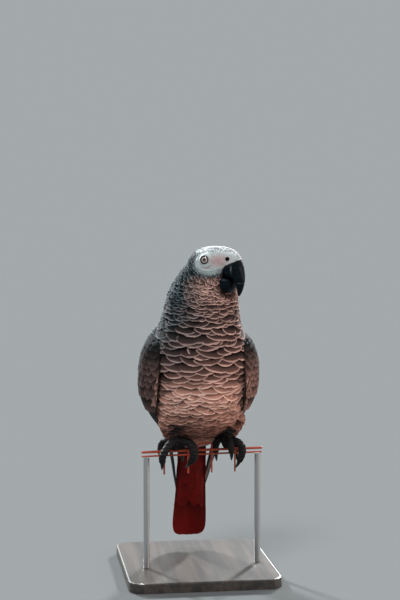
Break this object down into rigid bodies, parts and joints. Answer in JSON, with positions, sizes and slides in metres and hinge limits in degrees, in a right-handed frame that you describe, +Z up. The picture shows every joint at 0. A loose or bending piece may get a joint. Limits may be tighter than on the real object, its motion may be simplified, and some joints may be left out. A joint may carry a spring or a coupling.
{
  "type": "grey parrot model",
  "caption": "Life-size still model of an upright grey parrot with its head turned to its left, gripping a cut length of wire rim on a plain display stand.",
  "frame": {"origin": "middle of the underside of the stand's base, on the floor", "axes": "+Z up; the parrot's trunk faces -Y, its own left side is +X, and its head is turned 44 degrees to +X"},
  "size_m": [0.15, 0.17, 0.3308],
  "materials": {
    "face": "small scale-like feathers, dark grey with pale edges, round a bare powdery white face",
    "body_feathers": "overlapping slate-brown feathers with pale edges, warmer and lighter on the belly",
    "wing_feathers": "smooth dark grey feathers, charcoal flight feathers",
    "tail_feathers": "matt red feathers",
    "bill": "smooth black horn with a soft shine",
    "eye": "wet-looking, pale iris round a black pupil",
    "foot_skin": "dark scaly skin",
    "claw": "black horn",
    "rim_paint": "dark orange-red paint, a little rusty",
    "stand_base": "black-stained, satin",
    "stand_rod": "brushed"
  },
  "bodies": {
    "root": {"bill_lower": "bill", "bill_upper": "bill", "claw_left_1": "claw", "claw_left_2": "claw", "claw_left_3": "claw", "claw_left_4": "claw", "claw_right_1": "claw", "claw_right_2": "claw", "claw_right_3": "claw", "claw_right_4": "claw", "eye_left": "eye", "eye_right": "eye", "head": "face", "neck": "body_feathers", "perch_rim": "rim_paint", "shank_left": "foot_skin", "shank_right": "foot_skin", "stand_base": "stand_base", "stand_rod_left": "stand_rod", "stand_rod_right": "stand_rod", "tail": "tail_feathers", "thigh_left": "body_feathers", "thigh_right": "body_feathers", "toe_left_1": "foot_skin", "toe_left_2": "foot_skin", "toe_left_3": "foot_skin", "toe_left_4": "foot_skin", "toe_right_1": "foot_skin", "toe_right_2": "foot_skin", "toe_right_3": "foot_skin", "toe_right_4": "foot_skin", "trunk": "body_feathers", "wing_left": "wing_feathers", "wing_right": "wing_feathers"}
  },
  "joints": []
}
